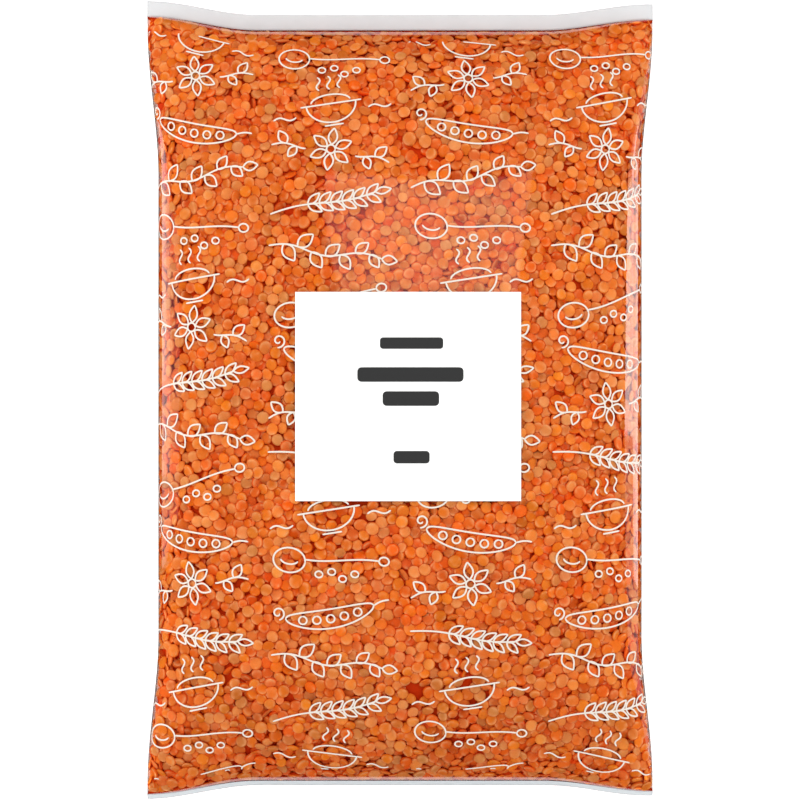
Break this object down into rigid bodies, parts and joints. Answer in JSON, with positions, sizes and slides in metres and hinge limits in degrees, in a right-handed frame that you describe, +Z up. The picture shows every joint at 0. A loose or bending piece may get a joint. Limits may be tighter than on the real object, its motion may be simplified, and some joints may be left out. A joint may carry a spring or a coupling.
{
  "type": "bag of lentils",
  "caption": "Clear pillow bag packed full of red lentils, sealed flat at both ends, with a blank square label and a seam down its back.",
  "frame": {"origin": "middle of the bag's footprint, on the surface that it lies on", "axes": "+Z up out of the labelled face, +Y along the bag towards its top seal, +X across it to the right"},
  "size_m": [0.264, 0.4172, 0.0821],
  "materials": {
    "lentils": "orange red lentils showing through thin clear glossy film with a sparse white print",
    "clear_film": "clear thin plastic film, glossy, pale grey where two layers are welded flat",
    "label_paper": "smooth white paper with a light sheen"
  },
  "bodies": {
    "root": {"filled_bag": "lentils", "top_seal": "clear_film", "bottom_seal": "clear_film", "back_seam": "clear_film", "label": "label_paper"}
  },
  "joints": []
}
